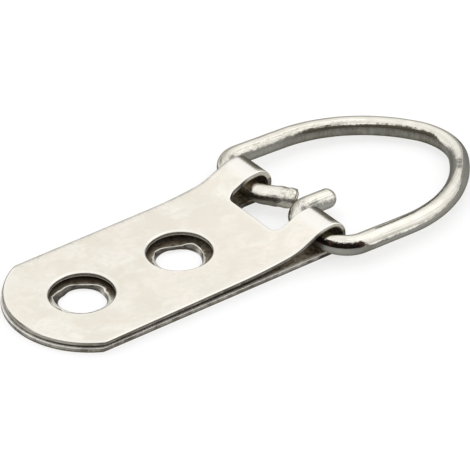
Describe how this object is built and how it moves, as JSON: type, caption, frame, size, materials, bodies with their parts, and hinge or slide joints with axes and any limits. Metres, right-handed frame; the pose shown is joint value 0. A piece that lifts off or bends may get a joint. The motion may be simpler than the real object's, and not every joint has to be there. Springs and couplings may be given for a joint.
{
  "type": "d-ring strap hanger",
  "caption": "Picture frame strap hanger: a folded metal strap with screw holes and a window, holding a loose D-shaped wire ring whose bent ends lie in the window.",
  "frame": {"origin": "on the face that is screwed against the frame, midway between the two screw holes", "axes": "+X along the strap from the holes towards the ring, +Z out of the mounting face towards the screw heads, Y across the strap"},
  "size_m": [0.052, 0.0214, 0.0034],
  "materials": {
    "strap_plate": "bright nickel plate on steel, lightly scuffed",
    "ring_wire": "bright nickel plate on steel wire, with drawn lines and scuffs"
  },
  "bodies": {
    "strap": {"strap": "strap_plate"},
    "ring": {"d_ring": "ring_wire"}
  },
  "joints": [
    {"name": "ring_swing", "type": "hinge", "parent": "strap", "child": "ring", "pos_m": [0.0172, 0, 0.00155], "axis": [0, -1, 0], "range_deg": [0, 152]}
  ]
}
